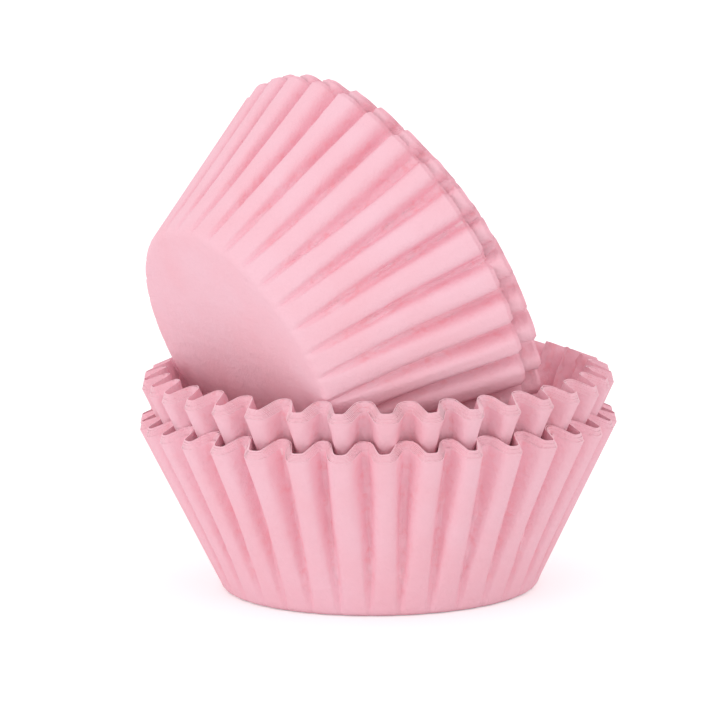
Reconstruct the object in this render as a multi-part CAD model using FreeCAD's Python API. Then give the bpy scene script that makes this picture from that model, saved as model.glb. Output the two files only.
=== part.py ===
import FreeCAD, Part
import math
import os
from collections import namedtuple

# A stack of pleated paper cupcake liners, in millimetres, +Z up, standing on the table.
# Every liner is one round of thin paper, pressed into a cup: a flat floor, a rounded heel and a wall that
# takes the surplus paper up in pleats. The liners sit in four tight nests. The lower nest stands on the
# table, the upper nest is jammed into it, and the other two, one inside the other, lie tipped over in the
# mouth of the upper nest.
# The origin is the middle of the floor that the stack stands on, and the camera side is -Y.

# Paper
PAPER_THICKNESS = 0.10
SHEET_GAP = 0.02                 # air between two liners of one nest
PLEAT_COUNT = 34
PLEAT_DEPTH = 3.2                # at the rim, from the crest of a ridge to the bottom of a valley
RIDGE_ROUND = 1.55               # radius of a ridge's edges, on the outer face of a nest
RIDGE_FLAT = 0.4                 # half the width of the flat crest between them
VALLEY_ROUND = 0.5               # radius of a valley's edges, on the same face
VALLEY_FLAT = 0.15               # half the width of the flat bottom between them

# Heel, where the flat floor turns up into the wall
HEEL_HEIGHT = 1.3                # from the floor to the ring where the wall starts
HEEL_WIDTH = 1.7                 # from that ring in to the edge of the flat floor
HEEL_CORNER = 0.5                # how far in from that ring the round turns into the floor

# Upright nests
UPRIGHT_PAPER_RADIUS = 52.25     # of the flat round of paper, with the heel's turn taken as a sharp one
UPRIGHT_HEEL_RADIUS = 25.0
LOWER_COUNT = 8
LOWER_RIM_RADIUS = 37.1          # to the crests of the ridges
UPPER_COUNT = 9
UPPER_RIM_RADIUS = 36.65
UPPER_INSET = 0.4                # its pleats are this much narrower, to slide into the lower nest's
UPPER_LIFT = 5.5                 # its floor above the table
PLEAT_TURN = 0.03                # radians that the upright pleats are turned away from the front

# Tipped nests
TIPPED_PAPER_RADIUS = 51.3
TIPPED_HEEL_RADIUS = 22.9
TIPPED_RIM_RADIUS = 33.7
OUTER_TIPPED_COUNT = 5
INNER_TIPPED_COUNT = 5
INNER_TIPPED_HEEL_RADIUS = 22.2
INNER_TIPPED_RIM_RADIUS = 33.2
INNER_TIPPED_INSET = 0.55        # its pleats are this much narrower
INNER_TIPPED_SHIFT = 2.4         # how far it stands out of the outer tipped nest
TIPPED_AZIMUTH = 33.3            # degrees from +X, the way that the tipped mouths point
TIPPED_ELEVATION = 25.3          # degrees above the level
TIPPED_TURN = 80.3               # degrees that the tipped pleats are turned about their axis
TIPPED_FLOOR_MIDDLE = (-21.1, -14.6, 37.8)

HALF_PLEAT = math.pi / PLEAT_COUNT
FOLDER = "parts"

# A nest: the name of its liners, how many there are, the paper's radius, the radii of the heel and of the
# rim, how much narrower the pleats are, and where the nest stands.
Nest = namedtuple("Nest", "name count paper_radius heel_radius rim_radius inset place")


def polar(radius, angle, height):
    """Return the point at a radius, an angle from +X and a height."""
    return FreeCAD.Vector(radius * math.cos(angle), radius * math.sin(angle), height)


def wall_ends(heel_radius, rim_radius, wall_length, depth):
    """Return where a straight line up the wall starts and ends, as (radius, height) pairs.

    Depth is how far inside the nest's outer face the line lies. The floor and the wall of each further
    liner lie equally deep, so its heel is narrower and its wall, cut from the same round, reaches higher.
    """
    flare = math.asin((rim_radius - heel_radius) / wall_length)
    narrower = depth * (1 - math.sin(flare)) / math.cos(flare)
    start = (heel_radius - narrower, HEEL_HEIGHT + depth)
    length = wall_length + narrower
    end = (start[0] + length * math.sin(flare), start[1] + length * math.cos(flare))
    return start, end


def round_corners(centre, radius, first, last):
    """Return the two corners of a round cut to flats, which turns from one direction to another."""
    quarter = (last - first) / 4
    reach = radius / math.cos(quarter)
    return [(centre[0] + reach * math.cos(first + share * quarter),
             centre[1] + reach * math.sin(first + share * quarter)) for share in (1, 3)]


def half_pleat_at_rim(ridge, valley, inset):
    """Return the corners of half a pleat at the rim, from the crest of its ridge to the bottom of a valley.

    Ridge and valley are (radius, height) pairs, and inset is how far inside the outer face this one lies:
    all faces of a nest are parallel there, so ridges get sharper and valleys wider towards the inside.
    """
    ridge_round = RIDGE_ROUND - inset
    valley_round = VALLEY_ROUND + inset
    ridge_middle = (ridge[0] - ridge_round, RIDGE_FLAT)
    valley_reach = valley[0] + valley_round
    valley_middle = (valley_reach * math.cos(HALF_PLEAT) + VALLEY_FLAT * math.sin(HALF_PLEAT),
                     valley_reach * math.sin(HALF_PLEAT) - VALLEY_FLAT * math.cos(HALF_PLEAT))
    across = (valley_middle[0] - ridge_middle[0], valley_middle[1] - ridge_middle[1])
    bearing = math.atan2(across[1], across[0])
    turn = bearing - math.acos((ridge_round + valley_round) / math.hypot(*across))
    corners = round_corners(ridge_middle, ridge_round, 0.0, turn)
    corners += round_corners(valley_middle, -valley_round, turn, HALF_PLEAT)
    points = []
    for x, y in corners:
        share = (math.hypot(x, y) - valley[0]) / (ridge[0] - valley[0])
        points.append(FreeCAD.Vector(x, y, valley[1] + share * (ridge[1] - valley[1])))
    return points


def mirrored(point):
    """Return a point's mirror image across the middle of its ridge."""
    return FreeCAD.Vector(point.x, -point.y, point.z)


def next_pleat(point):
    """Return the same point on the next pleat round."""
    return polar(math.hypot(point.x, point.y), math.atan2(point.y, point.x) + 2 * HALF_PLEAT, point.z)


def flat_face(points):
    """Return the flat face between some points."""
    return Part.Face(Part.makePolygon(points + points[:1]))


def side_points(nest, depth):
    """Return the corners of one face of a liner: the starts of its heel bands, and half a pleat at the rim."""
    wall_length = nest.paper_radius - nest.heel_radius
    ridge_ends = wall_ends(nest.heel_radius, nest.rim_radius, wall_length, depth)
    valley_ends = wall_ends(nest.heel_radius, nest.rim_radius - PLEAT_DEPTH, wall_length, depth)
    heel_radius, heel_height = ridge_ends[0]
    bands = [polar(heel_radius - HEEL_WIDTH, HALF_PLEAT, depth),
             polar(heel_radius - HEEL_CORNER, HALF_PLEAT, depth + HEEL_CORNER),
             polar(heel_radius, HALF_PLEAT, heel_height)]
    return bands, half_pleat_at_rim(ridge_ends[1], valley_ends[1], nest.inset + depth)


def pleat_faces(bands, rim):
    """Return the faces of one pleat, from the flat floor up to the rim.

    The wall's creases all start from the heel, in the middle of the valley on each side of the ridge.
    """
    faces = []
    for low, high in zip(bands, bands[1:]):
        faces.append(flat_face([mirrored(low), low, high, mirrored(high)]))
    heel = bands[-1]
    faces.append(flat_face([mirrored(heel), heel, rim[0], mirrored(rim[0])]))
    for first, second in zip(rim, rim[1:]):
        faces.append(flat_face([heel, second, first]))
        faces.append(flat_face([mirrored(heel), mirrored(first), mirrored(second)]))
    faces.append(flat_face([heel, next_pleat(mirrored(rim[-1])), rim[-1]]))
    return faces


def rim_faces(outer, inner):
    """Return the faces of one pleat's edge, between the two faces of the paper."""
    loops = []
    for corners in (outer, inner):
        images = [mirrored(point) for point in reversed(corners)]
        loops.append(images + corners + [next_pleat(images[0])])
    faces = []
    for index in range(len(loops[0]) - 1):
        edges = [Part.makeLine(loop[index], loop[index + 1]) for loop in loops]
        faces.append(Part.makeRuledSurface(*edges))
    return faces


def all_round(shape):
    """Return a copy of a shape for each pleat."""
    copies = []
    for pleat in range(PLEAT_COUNT):
        copy = shape.copy()
        copy.rotate(FreeCAD.Vector(), FreeCAD.Vector(0, 0, 1), 360.0 * pleat / PLEAT_COUNT)
        copies.append(copy)
    return copies


def make_liner(nest, index):
    """Return one liner of a nest, counted from the outermost."""
    outer_depth = index * (PAPER_THICKNESS + SHEET_GAP)
    faces = []
    rims = []
    for depth in (outer_depth, outer_depth + PAPER_THICKNESS):
        bands, rim = side_points(nest, depth)
        for face in pleat_faces(bands, rim):
            faces += all_round(face)
        floor_radius = math.hypot(bands[0].x, bands[0].y)
        faces.append(flat_face([polar(floor_radius, HALF_PLEAT * (2 * pleat + 1), depth)
                                for pleat in range(PLEAT_COUNT)]))
        rims.append(rim)
    for face in rim_faces(*rims):
        faces += all_round(face)
    shell = Part.makeShell(faces)
    shell.sewShape()
    liner = Part.Solid(shell)
    if liner.Volume < 0:
        liner.reverse()
    liner.Placement = nest.place
    return liner


def upright(lift):
    """Return the place of an upright nest whose floor is lifted off the table."""
    front = -90 + math.degrees(PLEAT_TURN)
    return FreeCAD.Placement(FreeCAD.Vector(0, 0, lift), FreeCAD.Rotation(FreeCAD.Vector(0, 0, 1), front))


def tipped(shift):
    """Return the place of a tipped nest, moved along the axis that its mouth points along."""
    azimuth = math.radians(TIPPED_AZIMUTH)
    elevation = math.radians(TIPPED_ELEVATION)
    axis = polar(math.cos(elevation), azimuth, math.sin(elevation))
    side = FreeCAD.Vector(0, 0, 1).cross(axis).normalize()
    turned = FreeCAD.Rotation(axis, TIPPED_TURN).multVec(side)
    rotation = FreeCAD.Rotation(turned, axis.cross(turned), axis, "XZY")
    return FreeCAD.Placement(FreeCAD.Vector(*TIPPED_FLOOR_MIDDLE) + axis * shift, rotation)


NESTS = [
    Nest("lower_liner", LOWER_COUNT, UPRIGHT_PAPER_RADIUS, UPRIGHT_HEEL_RADIUS, LOWER_RIM_RADIUS,
         0.0, upright(0.0)),
    Nest("upper_liner", UPPER_COUNT, UPRIGHT_PAPER_RADIUS, UPRIGHT_HEEL_RADIUS, UPPER_RIM_RADIUS,
         UPPER_INSET, upright(UPPER_LIFT)),
    Nest("tipped_outer_liner", OUTER_TIPPED_COUNT, TIPPED_PAPER_RADIUS, TIPPED_HEEL_RADIUS, TIPPED_RIM_RADIUS,
         0.0, tipped(0.0)),
    Nest("tipped_inner_liner", INNER_TIPPED_COUNT, TIPPED_PAPER_RADIUS, INNER_TIPPED_HEEL_RADIUS,
         INNER_TIPPED_RIM_RADIUS, INNER_TIPPED_INSET, tipped(INNER_TIPPED_SHIFT)),
]

os.makedirs(FOLDER, exist_ok=True)
for nest in NESTS:
    for index in range(nest.count):
        liner = make_liner(nest, index)
        name = f"{nest.name}_{index + 1:02d}"
        liner.exportStep(f"{FOLDER}/{name}.step")
        print(name, "volume", round(liner.Volume, 1), "valid", liner.isValid())
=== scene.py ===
import logging
import math
from dataclasses import dataclass, field
from enum import Enum

import bmesh
import bpy
from mathutils import Matrix, Vector, noise


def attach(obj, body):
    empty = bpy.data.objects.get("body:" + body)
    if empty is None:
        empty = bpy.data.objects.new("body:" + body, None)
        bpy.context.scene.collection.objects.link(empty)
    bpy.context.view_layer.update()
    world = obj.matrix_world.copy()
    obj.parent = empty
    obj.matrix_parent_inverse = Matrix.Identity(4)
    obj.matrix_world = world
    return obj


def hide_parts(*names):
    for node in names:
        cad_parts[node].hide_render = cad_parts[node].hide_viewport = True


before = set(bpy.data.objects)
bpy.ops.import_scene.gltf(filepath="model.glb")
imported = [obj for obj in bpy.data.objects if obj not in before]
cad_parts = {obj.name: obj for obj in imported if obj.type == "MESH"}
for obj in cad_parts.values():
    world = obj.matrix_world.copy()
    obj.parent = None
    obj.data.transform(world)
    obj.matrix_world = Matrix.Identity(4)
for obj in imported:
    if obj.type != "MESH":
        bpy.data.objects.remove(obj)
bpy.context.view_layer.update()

# The stack is made as it was in the factory: one pleated paper cup after another, pressed into tight nests.
# Sizes are in metres, in the frame of the solids.
MM = 0.001
LOG = logging.getLogger("liners")
Polar = tuple[float, float, float]
Pair = tuple[float, float]


class Stretch(Enum):
    """The three stretches of half a pleat, from the crest of its ridge to the bottom of a valley."""

    RIDGE = "ridge"
    FLANK = "flank"
    VALLEY = "valley"


class Detail(Enum):
    """How many columns half a pleat has on its ridge, flank and valley, and how many rows the wall has."""

    SHOWN = (5, 1, 4, 26)
    HIDDEN = (3, 0, 2, 6)


@dataclass(frozen=True)
class Column:
    """One line up the wall: its stretch of the pleat, how far along it, and which half it is in."""

    stretch: Stretch
    share: float
    side: int


def pleat_columns(detail: Detail) -> list[Column]:
    """Lists the columns of one pleat, from the crest of its ridge round to the next crest.

    Args:
        detail: How finely the pleat is divided.

    Returns:
        The columns in order.
    """
    ridge, flank, valley, _ = detail.value
    half = [(Stretch.RIDGE, (step + 1) / ridge) for step in range(ridge)]
    half += [(Stretch.FLANK, (step + 1) / (flank + 1)) for step in range(flank)]
    half += [(Stretch.VALLEY, step / valley) for step in range(valley)]
    columns = [Column(Stretch.RIDGE, 0.0, 1)]
    columns += [Column(stretch, share, 1) for stretch, share in half]
    columns.append(Column(Stretch.VALLEY, 1.0, 1))
    columns += [Column(stretch, share, -1) for stretch, share in reversed(half)]
    return columns


@dataclass(frozen=True)
class PleatForm:
    """The pleats that the press leaves in every liner.

    Reach is how much further than the press left them the valleys stand out at the rim.
    """

    count: int = 34
    depth: float = 3.2 * MM
    ridge_round: float = 1.55 * MM
    ridge_flat: float = 0.40 * MM
    valley_round: float = 0.5 * MM
    valley_flat: float = 0.15 * MM
    heel_ridge: float = 0.68
    heel_flank: float = 0.80
    heel_groove: float = 0.45 * MM
    heel_flank_drop: float = 0.4
    belly: float = 0.40 * MM
    reach: float = 0.0

    @property
    def half(self) -> float:
        """Half a pleat's angle, in radians."""
        return math.pi / self.count

    def at_rim(self, ridge: Pair, valley: Pair, inset: float, pinch: float, column: Column) -> Polar:
        """Finds where a column meets the rim.

        Args:
            ridge: Radius and height of the ridge's crest at the rim.
            valley: Radius and height of the valley's bottom at the rim.
            inset: How far this face lies inside a nest's outer face.
            pinch: How much narrower half a ridge is, and how much wider half a valley.
            column: The column.

        Returns:
            Radius, angle from the ridge and height.
        """
        ridge_round = self.ridge_round - inset
        valley_round = self.valley_round + inset
        ridge_flat = self.ridge_flat - pinch
        valley_flat = self.valley_flat + pinch
        outwards = Vector((math.cos(self.half), math.sin(self.half)))
        sideways = Vector((-outwards.y, outwards.x))
        ridge_middle = Vector((ridge[0] - ridge_round, ridge_flat))
        valley_middle = outwards * (valley[0] + valley_round) - sideways * valley_flat
        across = valley_middle - ridge_middle
        turn = math.atan2(across.y, across.x) - math.acos((ridge_round + valley_round) / across.length)
        facing = Vector((math.cos(turn), math.sin(turn)))
        if column.stretch is Stretch.RIDGE:
            path = column.share * (ridge_flat + ridge_round * turn)
            bearing = max(0.0, path - ridge_flat) / ridge_round
            point = ridge_middle + ridge_round * Vector((math.cos(bearing), math.sin(bearing)))
            point.y += min(0.0, path - ridge_flat)
        elif column.stretch is Stretch.FLANK:
            start = ridge_middle + ridge_round * facing
            point = start.lerp(valley_middle - valley_round * facing, column.share)
        else:
            path = column.share * (valley_round * (turn - self.half) + valley_flat)
            bearing = max(self.half, turn - path / valley_round)
            point = valley_middle - valley_round * Vector((math.cos(bearing), math.sin(bearing)))
            point += sideways * max(0.0, path - valley_round * (turn - self.half))
        share = (point.length - valley[0]) / (ridge[0] - valley[0])
        height = valley[1] + share * (ridge[1] - valley[1]) + (1 - share) * self.reach
        return point.length, math.atan2(point.y, point.x), height

    def at_heel(self, radius: float, height: float, column: Column) -> Polar:
        """Finds where a column leaves the heel, where the ridge is wide and the groove narrow and shallow.

        Args:
            radius: The heel's radius.
            height: The heel's height.
            column: The column.

        Returns:
            Radius, angle from the ridge and height.
        """
        if column.stretch is Stretch.RIDGE:
            share = self.heel_ridge * column.share
            groove = 0.0
        elif column.stretch is Stretch.FLANK:
            share = self.heel_ridge + (self.heel_flank - self.heel_ridge) * column.share
            groove = self.heel_flank_drop * column.share
        else:
            share = self.heel_flank + (1 - self.heel_flank) * column.share
            groove = self.heel_flank_drop + (1 - self.heel_flank_drop) * column.share
        return radius - groove * self.heel_groove, share * self.half, height


@dataclass(frozen=True)
class Handling:
    """How unevenly the paper took its pleats, as lengths that the surface strays.

    The rim of a whole nest can also stand askew, highest at one angle, and be pressed in on one side.
    A scale says how often a stray changes round the liner, and a rise how often it does up the wall.
    """

    sway: float = 0.60 * MM
    lean: float = 0.16 * MM
    wander: float = 0.14 * MM
    dent: float = 0.9 * MM
    rim_wave: float = 0.14 * MM
    slip: float = 0.09 * MM
    sway_scale: float = 7.0
    sway_rise: float = 1.3
    lean_scale: float = 3.0
    lean_middle: float = 0.6
    wander_scale: float = 34.0
    wander_rise: float = 2.5
    dent_scale: float = 40.0
    dent_rise: float = 15.0
    dent_least: float = 0.05
    wave_scale: float = 19.0
    wave_middle: float = 0.5
    fade: float = 5.0
    rim_lift: float = 0.0
    rim_tilt: float = 0.0
    tilt_facing: float = 0.0
    squeeze: float = 0.0
    squeeze_facing: float = 0.0

    def stray(self, point: Vector, rise: float, groove: float, seed: float, bulge: int) -> Vector:
        """Finds how far a point of the wall strays from its true place.

        Args:
            point: The point, in the liner's own frame.
            rise: How far up the wall it is, from 0 at the heel to 1 at the rim.
            groove: How deep in a valley it is, from 0 to 1.
            seed: Sets one nest apart from another.
            bulge: The way that the paper can bulge where a groove is nicked: 1 outwards, -1 inwards, 0 none,
                for a liner that is pressed between two others.

        Returns:
            The move to make.
        """
        out = Vector((point.x, point.y, 0.0)).normalized()
        along = Vector((-out.y, out.x, 0.0))
        start = Vector((seed, seed, seed))
        place = start + out * self.sway_scale + Vector((0, 0, rise * self.sway_rise))
        sway = self.sway * rise * noise.noise(place)
        lean = self.lean * rise * (noise.noise(start - out * self.lean_scale) - self.lean_middle)
        angle = math.atan2(out.y, out.x)
        lean -= self.squeeze * rise * max(0.0, math.cos(angle - self.squeeze_facing)) ** 2
        place = start + out * self.wander_scale + Vector((0, 0, rise * self.wander_rise))
        wander = self.wander * noise.noise(place)
        place = start - out * self.dent_scale + Vector((0, 0, rise * self.dent_rise))
        nick = max(0.0, noise.noise(place) - self.dent_least)
        dent = self.dent * groove * bulge * nick
        wave = self.rim_wave * rise * (noise.noise(start + out * self.wave_scale) - self.wave_middle)
        fade = min(1.0, rise * self.fade)
        return along * (sway + wander * fade) + out * (lean + dent * fade) + Vector((0, 0, wave))

    def unevenness(self, angle: float, index: int, seed: float) -> float:
        """Finds how much higher or lower a liner's rim is at an angle than its nest would have it.

        Args:
            angle: The angle round the liner.
            index: The liner, counted from the outermost.
            seed: Sets one nest apart from another.

        Returns:
            The height to add.
        """
        lift = noise.noise(Vector((seed, index * 1.7, 0.3))) - 0.3
        tilt = noise.noise(Vector((index * 2.3, seed, 0.7)))
        facing = math.tau * noise.noise(Vector((index * 0.9, 0.2, seed)))
        askew = self.rim_lift + self.rim_tilt * math.cos(angle - self.tilt_facing)
        return self.slip * (lift + tilt * math.cos(angle - facing)) + askew


@dataclass(frozen=True)
class CupSize:
    """The sizes of a nest's outermost liner, where its heel turns and how the nest around it squeezes it.

    Up to where the wall stands clear of that nest, its ridges are narrower by inset and pinch.
    """

    paper_radius: float
    heel_radius: float
    rim_radius: float
    inset: float = 0.0
    heel_height: float = 1.3 * MM
    heel_width: float = 1.7 * MM
    heel_corner: float = 0.35 * MM
    pinch: float = 0.0
    clear_share: float = 0.2

    def wall_ends(self, rim_radius: float, depth: float) -> tuple[Pair, Pair]:
        """Finds where a line up the wall starts and ends.

        Args:
            rim_radius: The radius that the outermost liner's line reaches.
            depth: How far inside the outermost face the line lies.

        Returns:
            Two pairs of radius and height.
        """
        wall_length = self.paper_radius - self.heel_radius
        flare = math.asin((rim_radius - self.heel_radius) / wall_length)
        narrower = depth * (1 - math.sin(flare)) / math.cos(flare)
        start = (self.heel_radius - narrower, self.heel_height + depth)
        length = wall_length + narrower
        return start, (start[0] + length * math.sin(flare), start[1] + length * math.cos(flare))


@dataclass
class Nest:
    """A tight nest of liners, outermost first.

    Hidden liners are coarser than shown ones, and each rim is shifted a little by itself, so neighbours
    cut into each other inside the nest. The solids do not.
    """

    name: str
    count: int
    size: CupSize
    place: Matrix
    seed: float
    slot: str
    handling: Handling = field(default_factory=Handling)
    pleats: PleatForm = field(default_factory=PleatForm)
    paper_thickness: float = 0.10 * MM
    sheet_pitch: float = 0.12 * MM
    heel_rows: int = 4
    # How soon up the wall the groove mask, which paints shade in the grooves, reaches full strength.
    groove_shade_fade: float = 4.0
    shown: tuple[int, ...] = (0,)

    def column_ends(self, depth: float, detail: Detail) -> list[tuple[Polar, Polar, Polar, float]]:
        """Lists the columns round the whole liner.

        Args:
            depth: How far inside the nest's outer face the liner's outer face lies.
            detail: How finely the pleats are divided.

        Returns:
            For each column its place at the heel, its place at the rim if the wall were squeezed up to there,
            its true place at the rim, and how deep in a valley it is.
        """
        heel, ridge = self.size.wall_ends(self.size.rim_radius, depth)
        valley = self.size.wall_ends(self.size.rim_radius - self.pleats.depth, depth)[1]
        ends = []
        for pleat in range(self.pleats.count):
            for column in pleat_columns(detail):
                low = self.pleats.at_heel(heel[0], heel[1], column)
                squeezed = self.pleats.at_rim(ridge, valley, depth + self.size.inset, self.size.pinch, column)
                free = self.pleats.at_rim(ridge, valley, depth, 0.0, column)
                middle = 2 * self.pleats.half * (pleat + (column.side < 0))
                places = [(radius, middle + column.side * angle, height)
                          for radius, angle, height in (low, squeezed, free)]
                ends.append((*places, (ridge[0] - free[0]) / (ridge[0] - valley[0])))
        return ends

    def rows(self, index: int, detail: Detail) -> list[list[tuple[Vector, float]]]:
        """Works out the rows of a liner's outer face, from the edge of the flat floor up to the rim.

        Args:
            index: The liner, counted from the outermost.
            detail: How finely it is divided.

        Returns:
            Rows of points, each with how deep in a valley it is.
        """
        depth = index * self.sheet_pitch
        bulge = {0: 1, self.count - 1: -1}.get(index, 0)
        ends = self.column_ends(depth, detail)
        flat_radius = ends[0][0][0]
        rows = []
        for step in range(self.heel_rows):
            share = step / self.heel_rows
            inward = (1 - share) ** 2 * self.size.heel_width + 2 * share * (1 - share) * self.size.heel_corner
            height = depth + share ** 2 * self.size.heel_height
            rows.append([(polar(flat_radius + (low[0] - flat_radius) * share - inward, low[1], height), 0.0)
                         for low, *_ in ends])
        wall_rows = detail.value[3]
        for step in range(wall_rows + 1):
            rise = step / wall_rows
            opening = max(0.0, (rise - 1) / self.size.clear_share + 1) ** 2
            row = []
            for low, squeezed, free, groove in ends:
                point = polar(*low).lerp(polar(*squeezed).lerp(polar(*free), opening), rise)
                point *= 1 - self.pleats.belly * groove * 4 * rise * (1 - rise) / low[0]
                point += self.handling.stray(point, rise, groove, self.seed, bulge)
                point.z += rise * self.handling.unevenness(free[1], index, self.seed)
                # The groove mask fades towards the heel. The paper reads it for its painted shade in the
                # grooves.
                row.append((point, groove * min(1.0, rise * self.groove_shade_fade)))
            rows.append(row)
        return rows

    def make_liner(self, index: int, detail: Detail) -> bpy.types.Object:
        """Makes one liner: the round floor, then row on row of its wall, then the paper's thickness.

        Args:
            index: The liner, counted from the outermost.
            detail: How finely it is divided.

        Returns:
            The liner.
        """
        rows = self.rows(index, detail)
        bm = bmesh.new()
        # This layer holds the mask for the painted shade in the grooves.
        mark = bm.verts.layers.float.new("groove")
        ring = bmesh.ops.create_circle(bm, cap_ends=True, segments=len(rows[0]), radius=1.0)["verts"]
        place_ring(ring, rows[0], mark)
        bmesh.ops.poke(bm, faces=bm.faces[:])
        for row in rows[1:]:
            ring = raise_ring(bm, ring)
            place_ring(ring, row, mark)
        bmesh.ops.recalc_face_normals(bm, faces=bm.faces[:])
        bmesh.ops.solidify(bm, geom=bm.faces[:], thickness=self.paper_thickness)
        # The rim faces take the second material: the paper's pink, lightened as a painted highlight along the
        # rim.
        for edge in {edge for corner in ring for edge in corner.link_edges}:
            for face in edge.link_faces:
                face.material_index = int(is_cut_edge(face, self.paper_thickness))
        bmesh.ops.transform(bm, matrix=self.place, verts=bm.verts[:])
        return finished(bm, f"{self.name}_{index + 1:02d}_paper")

    def build(self, paper: bpy.types.Material, highlighted_cut_edge: bpy.types.Material) -> list[bpy.types.Object]:
        """Makes every liner of the nest and puts it in its solid's place.

        Args:
            paper: The finish of its faces.
            highlighted_cut_edge: The finish of its rim, which is the paper's pink lightened as a painted
                highlight.

        Returns:
            The liners, outermost first.
        """
        liners = []
        for index in range(self.count):
            liner = self.make_liner(index, Detail.SHOWN if index in self.shown else Detail.HIDDEN)
            liner.data.materials.append(paper)
            liner.data.materials.append(highlighted_cut_edge)
            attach(liner, "root")
            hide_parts(f"{self.name}_{index + 1:02d}")
            LOG.info("%s: %d faces", liner.name, len(liner.data.polygons))
            liners.append(liner)
        return liners


def polar(radius: float, angle: float, height: float) -> Vector:
    """Returns the point at a radius, an angle from +X and a height."""
    return Vector((radius * math.cos(angle), radius * math.sin(angle), height))


def place_ring(ring: list[bmesh.types.BMVert], row: list[tuple[Vector, float]],
               mark: bmesh.types.BMLayerItem) -> None:
    """Moves a ring of corners to a row's points and notes how deep in a valley each is.

    Args:
        ring: The corners, in order.
        row: The points, each with how deep in a valley it is.
        mark: The layer for that depth, which is the mask for the painted shade in the grooves.
    """
    for corner, (point, groove) in zip(ring, row):
        corner.co = point
        corner[mark] = groove


def is_cut_edge(face: bmesh.types.BMFace, thickness: float, slack: float = 1.6) -> bool:
    """Tells whether a face is part of a liner's cut edge, which is as wide as its paper is thick."""
    return sum(edge.calc_length() < slack * thickness for edge in face.edges) >= 2


def raise_ring(bm: bmesh.types.BMesh, ring: list[bmesh.types.BMVert]) -> list[bmesh.types.BMVert]:
    """Extrudes the open edge of a wall.

    Args:
        bm: The mesh.
        ring: The corners of its open edge, in order.

    Returns:
        The new corners, in the same order.
    """
    members = set(ring)
    edges = [edge for edge in bm.edges if edge.verts[0] in members and edge.verts[1] in members
             and len(edge.link_faces) == 1]
    fresh = {item for item in bmesh.ops.extrude_edge_only(bm, edges=edges)["geom"]
             if isinstance(item, bmesh.types.BMVert)}
    return [next(edge.other_vert(corner) for edge in corner.link_edges if edge.other_vert(corner) in fresh)
            for corner in ring]


def finished(bm: bmesh.types.BMesh, name: str) -> bpy.types.Object:
    """Turns a mesh into a smooth object with crisp paper edges.

    Args:
        bm: The mesh, which is freed.
        name: The object's name.

    Returns:
        The object, at the origin.
    """
    mesh = bpy.data.meshes.new(name)
    bm.to_mesh(mesh)
    bm.free()
    mesh.shade_smooth()
    mesh.set_sharp_from_angle(angle=math.radians(50))
    piece = bpy.data.objects.new(name, mesh)
    bpy.context.scene.collection.objects.link(piece)
    return piece


def upright(lift: float, turn: float = 0.03) -> Matrix:
    """Returns the place of an upright nest whose floor is lifted off the table."""
    return Matrix.Translation((0, 0, lift)) @ Matrix.Rotation(turn - math.pi / 2, 4, "Z")


@dataclass(frozen=True)
class Tipping:
    """How the tipped nests lie in the mouth of the upper one."""

    azimuth: float = math.radians(33.3)
    elevation: float = math.radians(25.3)
    turn: float = math.radians(80.3)
    floor_middle: tuple[float, float, float] = (-21.1 * MM, -14.6 * MM, 37.8 * MM)

    def place(self, shift: float) -> Matrix:
        """Works out the place of a tipped nest.

        Args:
            shift: How far it is moved along the axis that its mouth points along.

        Returns:
            The place.
        """
        axis = polar(math.cos(self.elevation), self.azimuth, math.sin(self.elevation))
        side = Vector((0, 0, 1)).cross(axis).normalized()
        first = Matrix.Rotation(self.turn, 3, axis) @ side
        turned = Matrix((first, axis.cross(first), axis)).transposed().to_4x4()
        return Matrix.Translation(Vector(self.floor_middle) + axis * shift) @ turned


class NodeBench:
    """Adds and joins the nodes of one node tree."""

    def __init__(self, tree: bpy.types.NodeTree) -> None:
        """Takes a tree and empties it."""
        self.tree = tree
        tree.nodes.clear()

    def add(self, kind: str, **settings: object) -> bpy.types.Node:
        """Adds a node.

        Args:
            kind: The node's type.
            settings: Its properties.

        Returns:
            The node.
        """
        node = self.tree.nodes.new(kind)
        for key, value in settings.items():
            setattr(node, key, value)
        return node

    def join(self, output: bpy.types.NodeSocket, entry: bpy.types.NodeSocket) -> None:
        """Joins an output to an input."""
        self.tree.links.new(output, entry)

    def noise(self, place: bpy.types.NodeSocket, scale: float, steps: float) -> bpy.types.NodeSocket:
        """Adds a noise texture.

        Args:
            place: Where it is looked up.
            scale: How fine it is.
            steps: How much finer detail it has.

        Returns:
            Its value.
        """
        node = self.add("ShaderNodeTexNoise")
        node.inputs["Scale"].default_value = scale
        node.inputs["Detail"].default_value = steps
        self.join(place, node.inputs["Vector"])
        return node.outputs["Fac"]

    def spread(self, value: bpy.types.NodeSocket, low: float, high: float, to_low: float,
               to_high: float) -> bpy.types.NodeSocket:
        """Maps a value from one range to another.

        Args:
            value: The value.
            low: Where its range starts.
            high: Where its range ends.
            to_low: What the start becomes.
            to_high: What the end becomes.

        Returns:
            The result.
        """
        node = self.add("ShaderNodeMapRange")
        for key, number in (("From Min", low), ("From Max", high), ("To Min", to_low), ("To Max", to_high)):
            node.inputs[key].default_value = number
        self.join(value, node.inputs["Value"])
        return node.outputs["Result"]

    def blend(self, share: bpy.types.NodeSocket, first: bpy.types.NodeSocket,
              second: bpy.types.NodeSocket) -> bpy.types.NodeSocket:
        """Mixes two colours.

        Args:
            share: How much of the second colour there is.
            first: The first colour.
            second: The second colour.

        Returns:
            The mixed colour.
        """
        node = self.add("ShaderNodeMix", data_type="RGBA")
        self.join(share, node.inputs["Factor"])
        self.join(first, node.inputs[6])
        self.join(second, node.inputs[7])
        return node.outputs[2]


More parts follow.
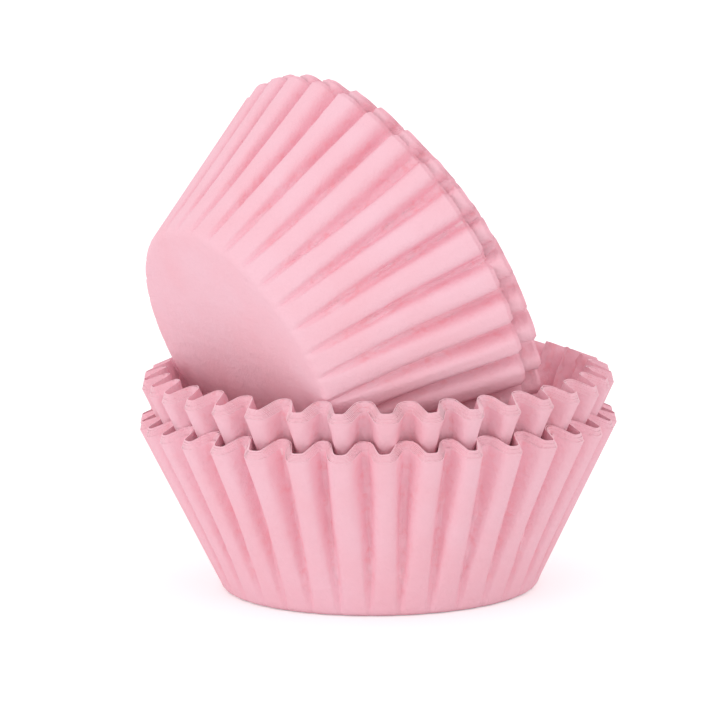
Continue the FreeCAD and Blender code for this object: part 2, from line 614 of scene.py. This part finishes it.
@dataclass(frozen=True)
class Grain:
    """How fine the paper's clouds, fibres and crumples are, how strongly they show, and which crumples in the
    grooves carry painted shade.
    """

    cloud_scale: float = 90.0
    fibre_scale: float = 2600.0
    crumple_scale: float = 760.0
    cloud_range: Pair = (0.35, 0.7)
    cloud_most: float = 0.5
    groove_shade_range: Pair = (0.52, 0.70)
    fibre_range: Pair = (0.3, 0.7)
    roughness_range: Pair = (0.72, 0.88)
    crumple_height: float = 2.0


def paper_grain(grain: Grain) -> bpy.types.NodeTree:
    """Builds the shared look of soft greaseproof paper.

    Args:
        grain: Its measures.

    Returns:
        A group that turns a place, how deep in a valley it is and two dyes into a colour, a roughness and a
        height. The second dye shows as random mottling and as painted shade in crumple-shaped patches in the
        grooves.
    """
    group = bpy.data.node_groups.new("Paper grain", "ShaderNodeTree")
    ways = (("Place", "NodeSocketVector", "INPUT"), ("Groove", "NodeSocketFloat", "INPUT"),
            ("Dye", "NodeSocketColor", "INPUT"), ("Mottle and groove shade dye", "NodeSocketColor", "INPUT"),
            ("Colour", "NodeSocketColor", "OUTPUT"), ("Roughness", "NodeSocketFloat", "OUTPUT"),
            ("Height", "NodeSocketFloat", "OUTPUT"))
    for name, kind, way in ways:
        group.interface.new_socket(name=name, socket_type=kind, in_out=way)
    bench = NodeBench(group)
    entry = bench.add("NodeGroupInput")
    leave = bench.add("NodeGroupOutput")
    place = entry.outputs["Place"]

    cloud = bench.noise(place, grain.cloud_scale, 3.0)
    fibre = bench.noise(place, grain.fibre_scale, 4.0)
    crumple = bench.noise(place, grain.crumple_scale, 3.0)

    mottle = bench.spread(cloud, *grain.cloud_range, 0.0, grain.cloud_most)
    # Painted shade: crumple-shaped patches deep in the grooves take the darker second dye, as if shade fell
    # in the valleys.
    painted_groove_shade = bench.add("ShaderNodeMath", operation="MULTIPLY")
    bench.join(bench.spread(crumple, *grain.groove_shade_range, 0.0, 1.0), painted_groove_shade.inputs[0])
    bench.join(entry.outputs["Groove"], painted_groove_shade.inputs[1])
    # The clouds give random mottling, the paper's own tone. The grooves add the painted shade.
    shade = bench.add("ShaderNodeMath", operation="ADD", use_clamp=True)
    bench.join(mottle, shade.inputs[0])
    bench.join(painted_groove_shade.outputs[0], shade.inputs[1])
    colour = bench.blend(shade.outputs[0], entry.outputs["Dye"], entry.outputs["Mottle and groove shade dye"])
    bench.join(colour, leave.inputs["Colour"])
    roughness = bench.spread(fibre, *grain.fibre_range, *grain.roughness_range)
    bench.join(roughness, leave.inputs["Roughness"])

    relief = bench.add("ShaderNodeMath", operation="MULTIPLY_ADD")
    bench.join(crumple, relief.inputs[0])
    relief.inputs[1].default_value = grain.crumple_height
    bench.join(fibre, relief.inputs[2])
    bench.join(relief.outputs[0], leave.inputs["Height"])
    return group


@dataclass(frozen=True)
class PaperFinish:
    """Dyed greaseproof paper: matte, faintly mottled and crumpled, with painted shade in patches deep in its
    grooves.
    """

    name: str
    dye: tuple[float, float, float, float]
    # The dye of the random mottling and of the painted shade in the grooves.
    mottle_and_groove_shade_dye: tuple[float, float, float, float]
    relief: float = 0.10 * MM
    relief_strength: float = 0.8
    shine: float = 0.25

    def material(self, grain: bpy.types.NodeTree) -> bpy.types.Material:
        """Builds the material.

        Args:
            grain: The shared paper group.

        Returns:
            The material.
        """
        material = bpy.data.materials.new(self.name)
        material.use_nodes = True
        bench = NodeBench(material.node_tree)
        place = bench.add("ShaderNodeTexCoord")
        groove = bench.add("ShaderNodeAttribute", attribute_name="groove")
        paper = bench.add("ShaderNodeGroup", node_tree=grain)
        bump = bench.add("ShaderNodeBump")
        shader = bench.add("ShaderNodeBsdfPrincipled")
        surface = bench.add("ShaderNodeOutputMaterial")
        paper.inputs["Dye"].default_value = self.dye
        paper.inputs["Mottle and groove shade dye"].default_value = self.mottle_and_groove_shade_dye
        bench.join(place.outputs["Object"], paper.inputs["Place"])
        bench.join(groove.outputs["Fac"], paper.inputs["Groove"])
        bump.inputs["Distance"].default_value = self.relief
        bump.inputs["Strength"].default_value = self.relief_strength
        bench.join(paper.outputs["Height"], bump.inputs["Height"])
        bench.join(paper.outputs["Colour"], shader.inputs["Base Color"])
        bench.join(paper.outputs["Roughness"], shader.inputs["Roughness"])
        bench.join(bump.outputs["Normal"], shader.inputs["Normal"])
        shader.inputs["Specular IOR Level"].default_value = self.shine
        bench.join(shader.outputs["BSDF"], surface.inputs["Surface"])
        return material


@dataclass
class Studio:
    """The pale table, the soft lamps and the camera."""

    table_size: float = 8.0
    table_white: float = 0.92
    table_glow: float = 0.32
    sky_strength: float = 0.92
    camera_distance: float = 594.3 * MM
    camera_elevation: float = 0.169
    camera_roll: float = -0.012
    target_height: float = 25.0 * MM
    picture_size: float = 720.0
    focal_pixels: float = 3827.0
    centre_column: float = 378.2
    centre_row: float = 425.6
    sensor: float = 36.0

    def build_table(self) -> None:
        """Lays the table: a white sheet that keeps the stack's soft shadow."""
        bm = bmesh.new()
        bmesh.ops.create_grid(bm, x_segments=1, y_segments=1, size=self.table_size / 2)
        mesh = bpy.data.meshes.new("table")
        bm.to_mesh(mesh)
        bm.free()
        table = bpy.data.objects.new("table", mesh)
        bpy.context.scene.collection.objects.link(table)
        material = bpy.data.materials.new("White table")
        material.use_nodes = True
        bench = NodeBench(material.node_tree)
        seen = bench.add("ShaderNodeLightPath")
        glow = bench.add("ShaderNodeEmission")
        matte = bench.add("ShaderNodeBsdfDiffuse")
        both = bench.add("ShaderNodeAddShader")
        surface = bench.add("ShaderNodeOutputMaterial")
        matte.inputs["Color"].default_value = (*[self.table_white] * 3, 1)
        strength = bench.spread(self.seen_by_eye(bench, seen), 0.0, 1.0, 0.0, self.table_glow)
        bench.join(strength, glow.inputs["Strength"])
        bench.join(matte.outputs[0], both.inputs[0])
        bench.join(glow.outputs[0], both.inputs[1])
        bench.join(both.outputs[0], surface.inputs["Surface"])
        mesh.materials.append(material)

    @staticmethod
    def seen_by_eye(bench: NodeBench, seen: bpy.types.Node) -> bpy.types.NodeSocket:
        """Tells what the camera sees, straight or in a mirror or glass, from other light.

        Args:
            bench: The bench of the material or the world.
            seen: Its light path node.

        Returns:
            1 for what is seen and 0 for other light.
        """
        first = bench.add("ShaderNodeMath", operation="ADD", use_clamp=True)
        second = bench.add("ShaderNodeMath", operation="ADD", use_clamp=True)
        bench.join(seen.outputs["Is Camera Ray"], first.inputs[0])
        bench.join(seen.outputs["Is Glossy Ray"], first.inputs[1])
        bench.join(first.outputs[0], second.inputs[0])
        bench.join(seen.outputs["Is Transmission Ray"], second.inputs[1])
        return second.outputs[0]

    def build_sky(self) -> None:
        """Fills the room with soft white light, on a white background."""
        world = bpy.data.worlds.new("Soft room")
        bpy.context.scene.world = world
        world.use_nodes = True
        bench = NodeBench(world.node_tree)
        seen = bench.add("ShaderNodeLightPath")
        sky = bench.add("ShaderNodeBackground")
        surface = bench.add("ShaderNodeOutputWorld")
        strength = bench.spread(self.seen_by_eye(bench, seen), 0.0, 1.0, self.sky_strength, 1.0)
        bench.join(strength, sky.inputs["Strength"])
        sky.inputs["Color"].default_value = (1, 1, 1, 1)
        bench.join(sky.outputs[0], surface.inputs["Surface"])

    def add_lamp(self, name: str, place: tuple[float, float, float], size: float, power: float) -> None:
        """Hangs a square soft white lamp that points at the stack.

        Args:
            name: Its name.
            place: Where it hangs.
            size: How long its sides are.
            power: Its power in watts.
        """
        light = bpy.data.lights.new(name, "AREA")
        light.size = size
        light.energy = power
        lamp = bpy.data.objects.new(name, light)
        lamp.location = place
        towards = Vector((0, 0, self.target_height)) - Vector(place)
        lamp.rotation_euler = towards.to_track_quat("-Z", "Y").to_euler()
        bpy.context.scene.collection.objects.link(lamp)

    def build_camera(self) -> None:
        """Sets the camera where the photograph was taken from."""
        lens = bpy.data.cameras.new("camera")
        lens.sensor_width = self.sensor
        lens.lens = self.focal_pixels / self.picture_size * self.sensor
        lens.shift_x = (self.picture_size / 2 - self.centre_column) / self.picture_size
        lens.shift_y = (self.centre_row - self.picture_size / 2) / self.picture_size
        lens.clip_start = 0.01
        lens.clip_end = 50.0
        camera = bpy.data.objects.new("camera", lens)
        back = Vector((0, -math.cos(self.camera_elevation), math.sin(self.camera_elevation)))
        camera.location = Vector((0, 0, self.target_height)) + back * self.camera_distance
        level = (-back).to_track_quat("-Z", "Y").to_matrix()
        camera.rotation_euler = (level @ Matrix.Rotation(self.camera_roll, 3, "Z")).to_euler()
        bpy.context.scene.collection.objects.link(camera)
        bpy.context.scene.camera = camera

    def build(self) -> None:
        """Builds the whole studio."""
        self.build_table()
        self.build_sky()
        self.add_lamp("key", (-1.1, -0.95, 0.20), 0.6, 3.4)
        self.add_lamp("fill", (0.8, -0.9, 0.5), 0.9, 1.0)
        self.build_camera()
        bpy.context.scene.view_settings.view_transform = "Standard"


def nests() -> list[Nest]:
    """Lists the four nests of the stack, from the table up.

    Returns:
        The lower, the upper, the outer tipped and the inner tipped nest.
    """
    tipping = Tipping()
    lower = CupSize(paper_radius=52.25 * MM, heel_radius=25.0 * MM, rim_radius=37.1 * MM)
    upper = CupSize(paper_radius=52.25 * MM, heel_radius=25.0 * MM, rim_radius=36.65 * MM,
                    inset=0.4 * MM, pinch=0.35 * MM, clear_share=0.22)
    outer = CupSize(paper_radius=51.3 * MM, heel_radius=22.9 * MM, rim_radius=33.7 * MM)
    inner = CupSize(paper_radius=51.3 * MM, heel_radius=22.2 * MM, rim_radius=33.2 * MM,
                    inset=0.55 * MM, pinch=0.2 * MM, clear_share=0.1)
    upper_rim = Handling(rim_lift=0.6 * MM, rim_tilt=0.6 * MM, tilt_facing=math.pi)
    outer_pleats = PleatForm(depth=2.8 * MM, ridge_round=1.3 * MM, ridge_flat=0.65 * MM, reach=0.3 * MM)
    inner_pleats = PleatForm(depth=2.8 * MM, reach=0.5 * MM)
    squeeze = 0.6 * MM
    squeeze_facing = math.radians(-60)
    pressed = Handling(squeeze=squeeze, squeeze_facing=squeeze_facing)
    askew = Handling(rim_tilt=1.3 * MM, tilt_facing=math.radians(190), squeeze=squeeze,
                     squeeze_facing=squeeze_facing)
    return [
        Nest("lower_liner", 8, lower, upright(0.0), 3.1, "lower_paper"),
        Nest("upper_liner", 9, upper, upright(5.5 * MM), 8.7, "upper_paper", upper_rim, shown=(0, 8)),
        Nest("tipped_outer_liner", 5, outer, tipping.place(0.0), 14.2, "tipped_paper", pressed,
             outer_pleats),
        Nest("tipped_inner_liner", 5, inner, tipping.place(2.4 * MM), 21.6, "tipped_paper", askew,
             inner_pleats, shown=(0, 4)),
    ]


def main() -> None:
    """Builds the nests in order, then the studio."""
    logging.basicConfig(level=logging.INFO, format="%(message)s")
    grain = paper_grain(Grain())
    # The second dye of each finish is random mottling plus painted shade in the grooves.
    paper = PaperFinish("Pink paper", dye=(0.95, 0.57, 0.655, 1), mottle_and_groove_shade_dye=(0.94, 0.48, 0.55, 1))
    # The cut edge's lighter pink is a painted highlight along the rims.
    highlighted_cut_edge = PaperFinish("Cut edge of pink paper with painted highlight", dye=(0.96, 0.68, 0.74, 1),
                           mottle_and_groove_shade_dye=(0.95, 0.60, 0.66, 1))
    finishes = [finish.material(grain) for finish in (paper, highlighted_cut_edge)]
    for nest in nests():
        nest.build(*finishes)
    Studio().build()


if __name__ == "__main__":
    main()
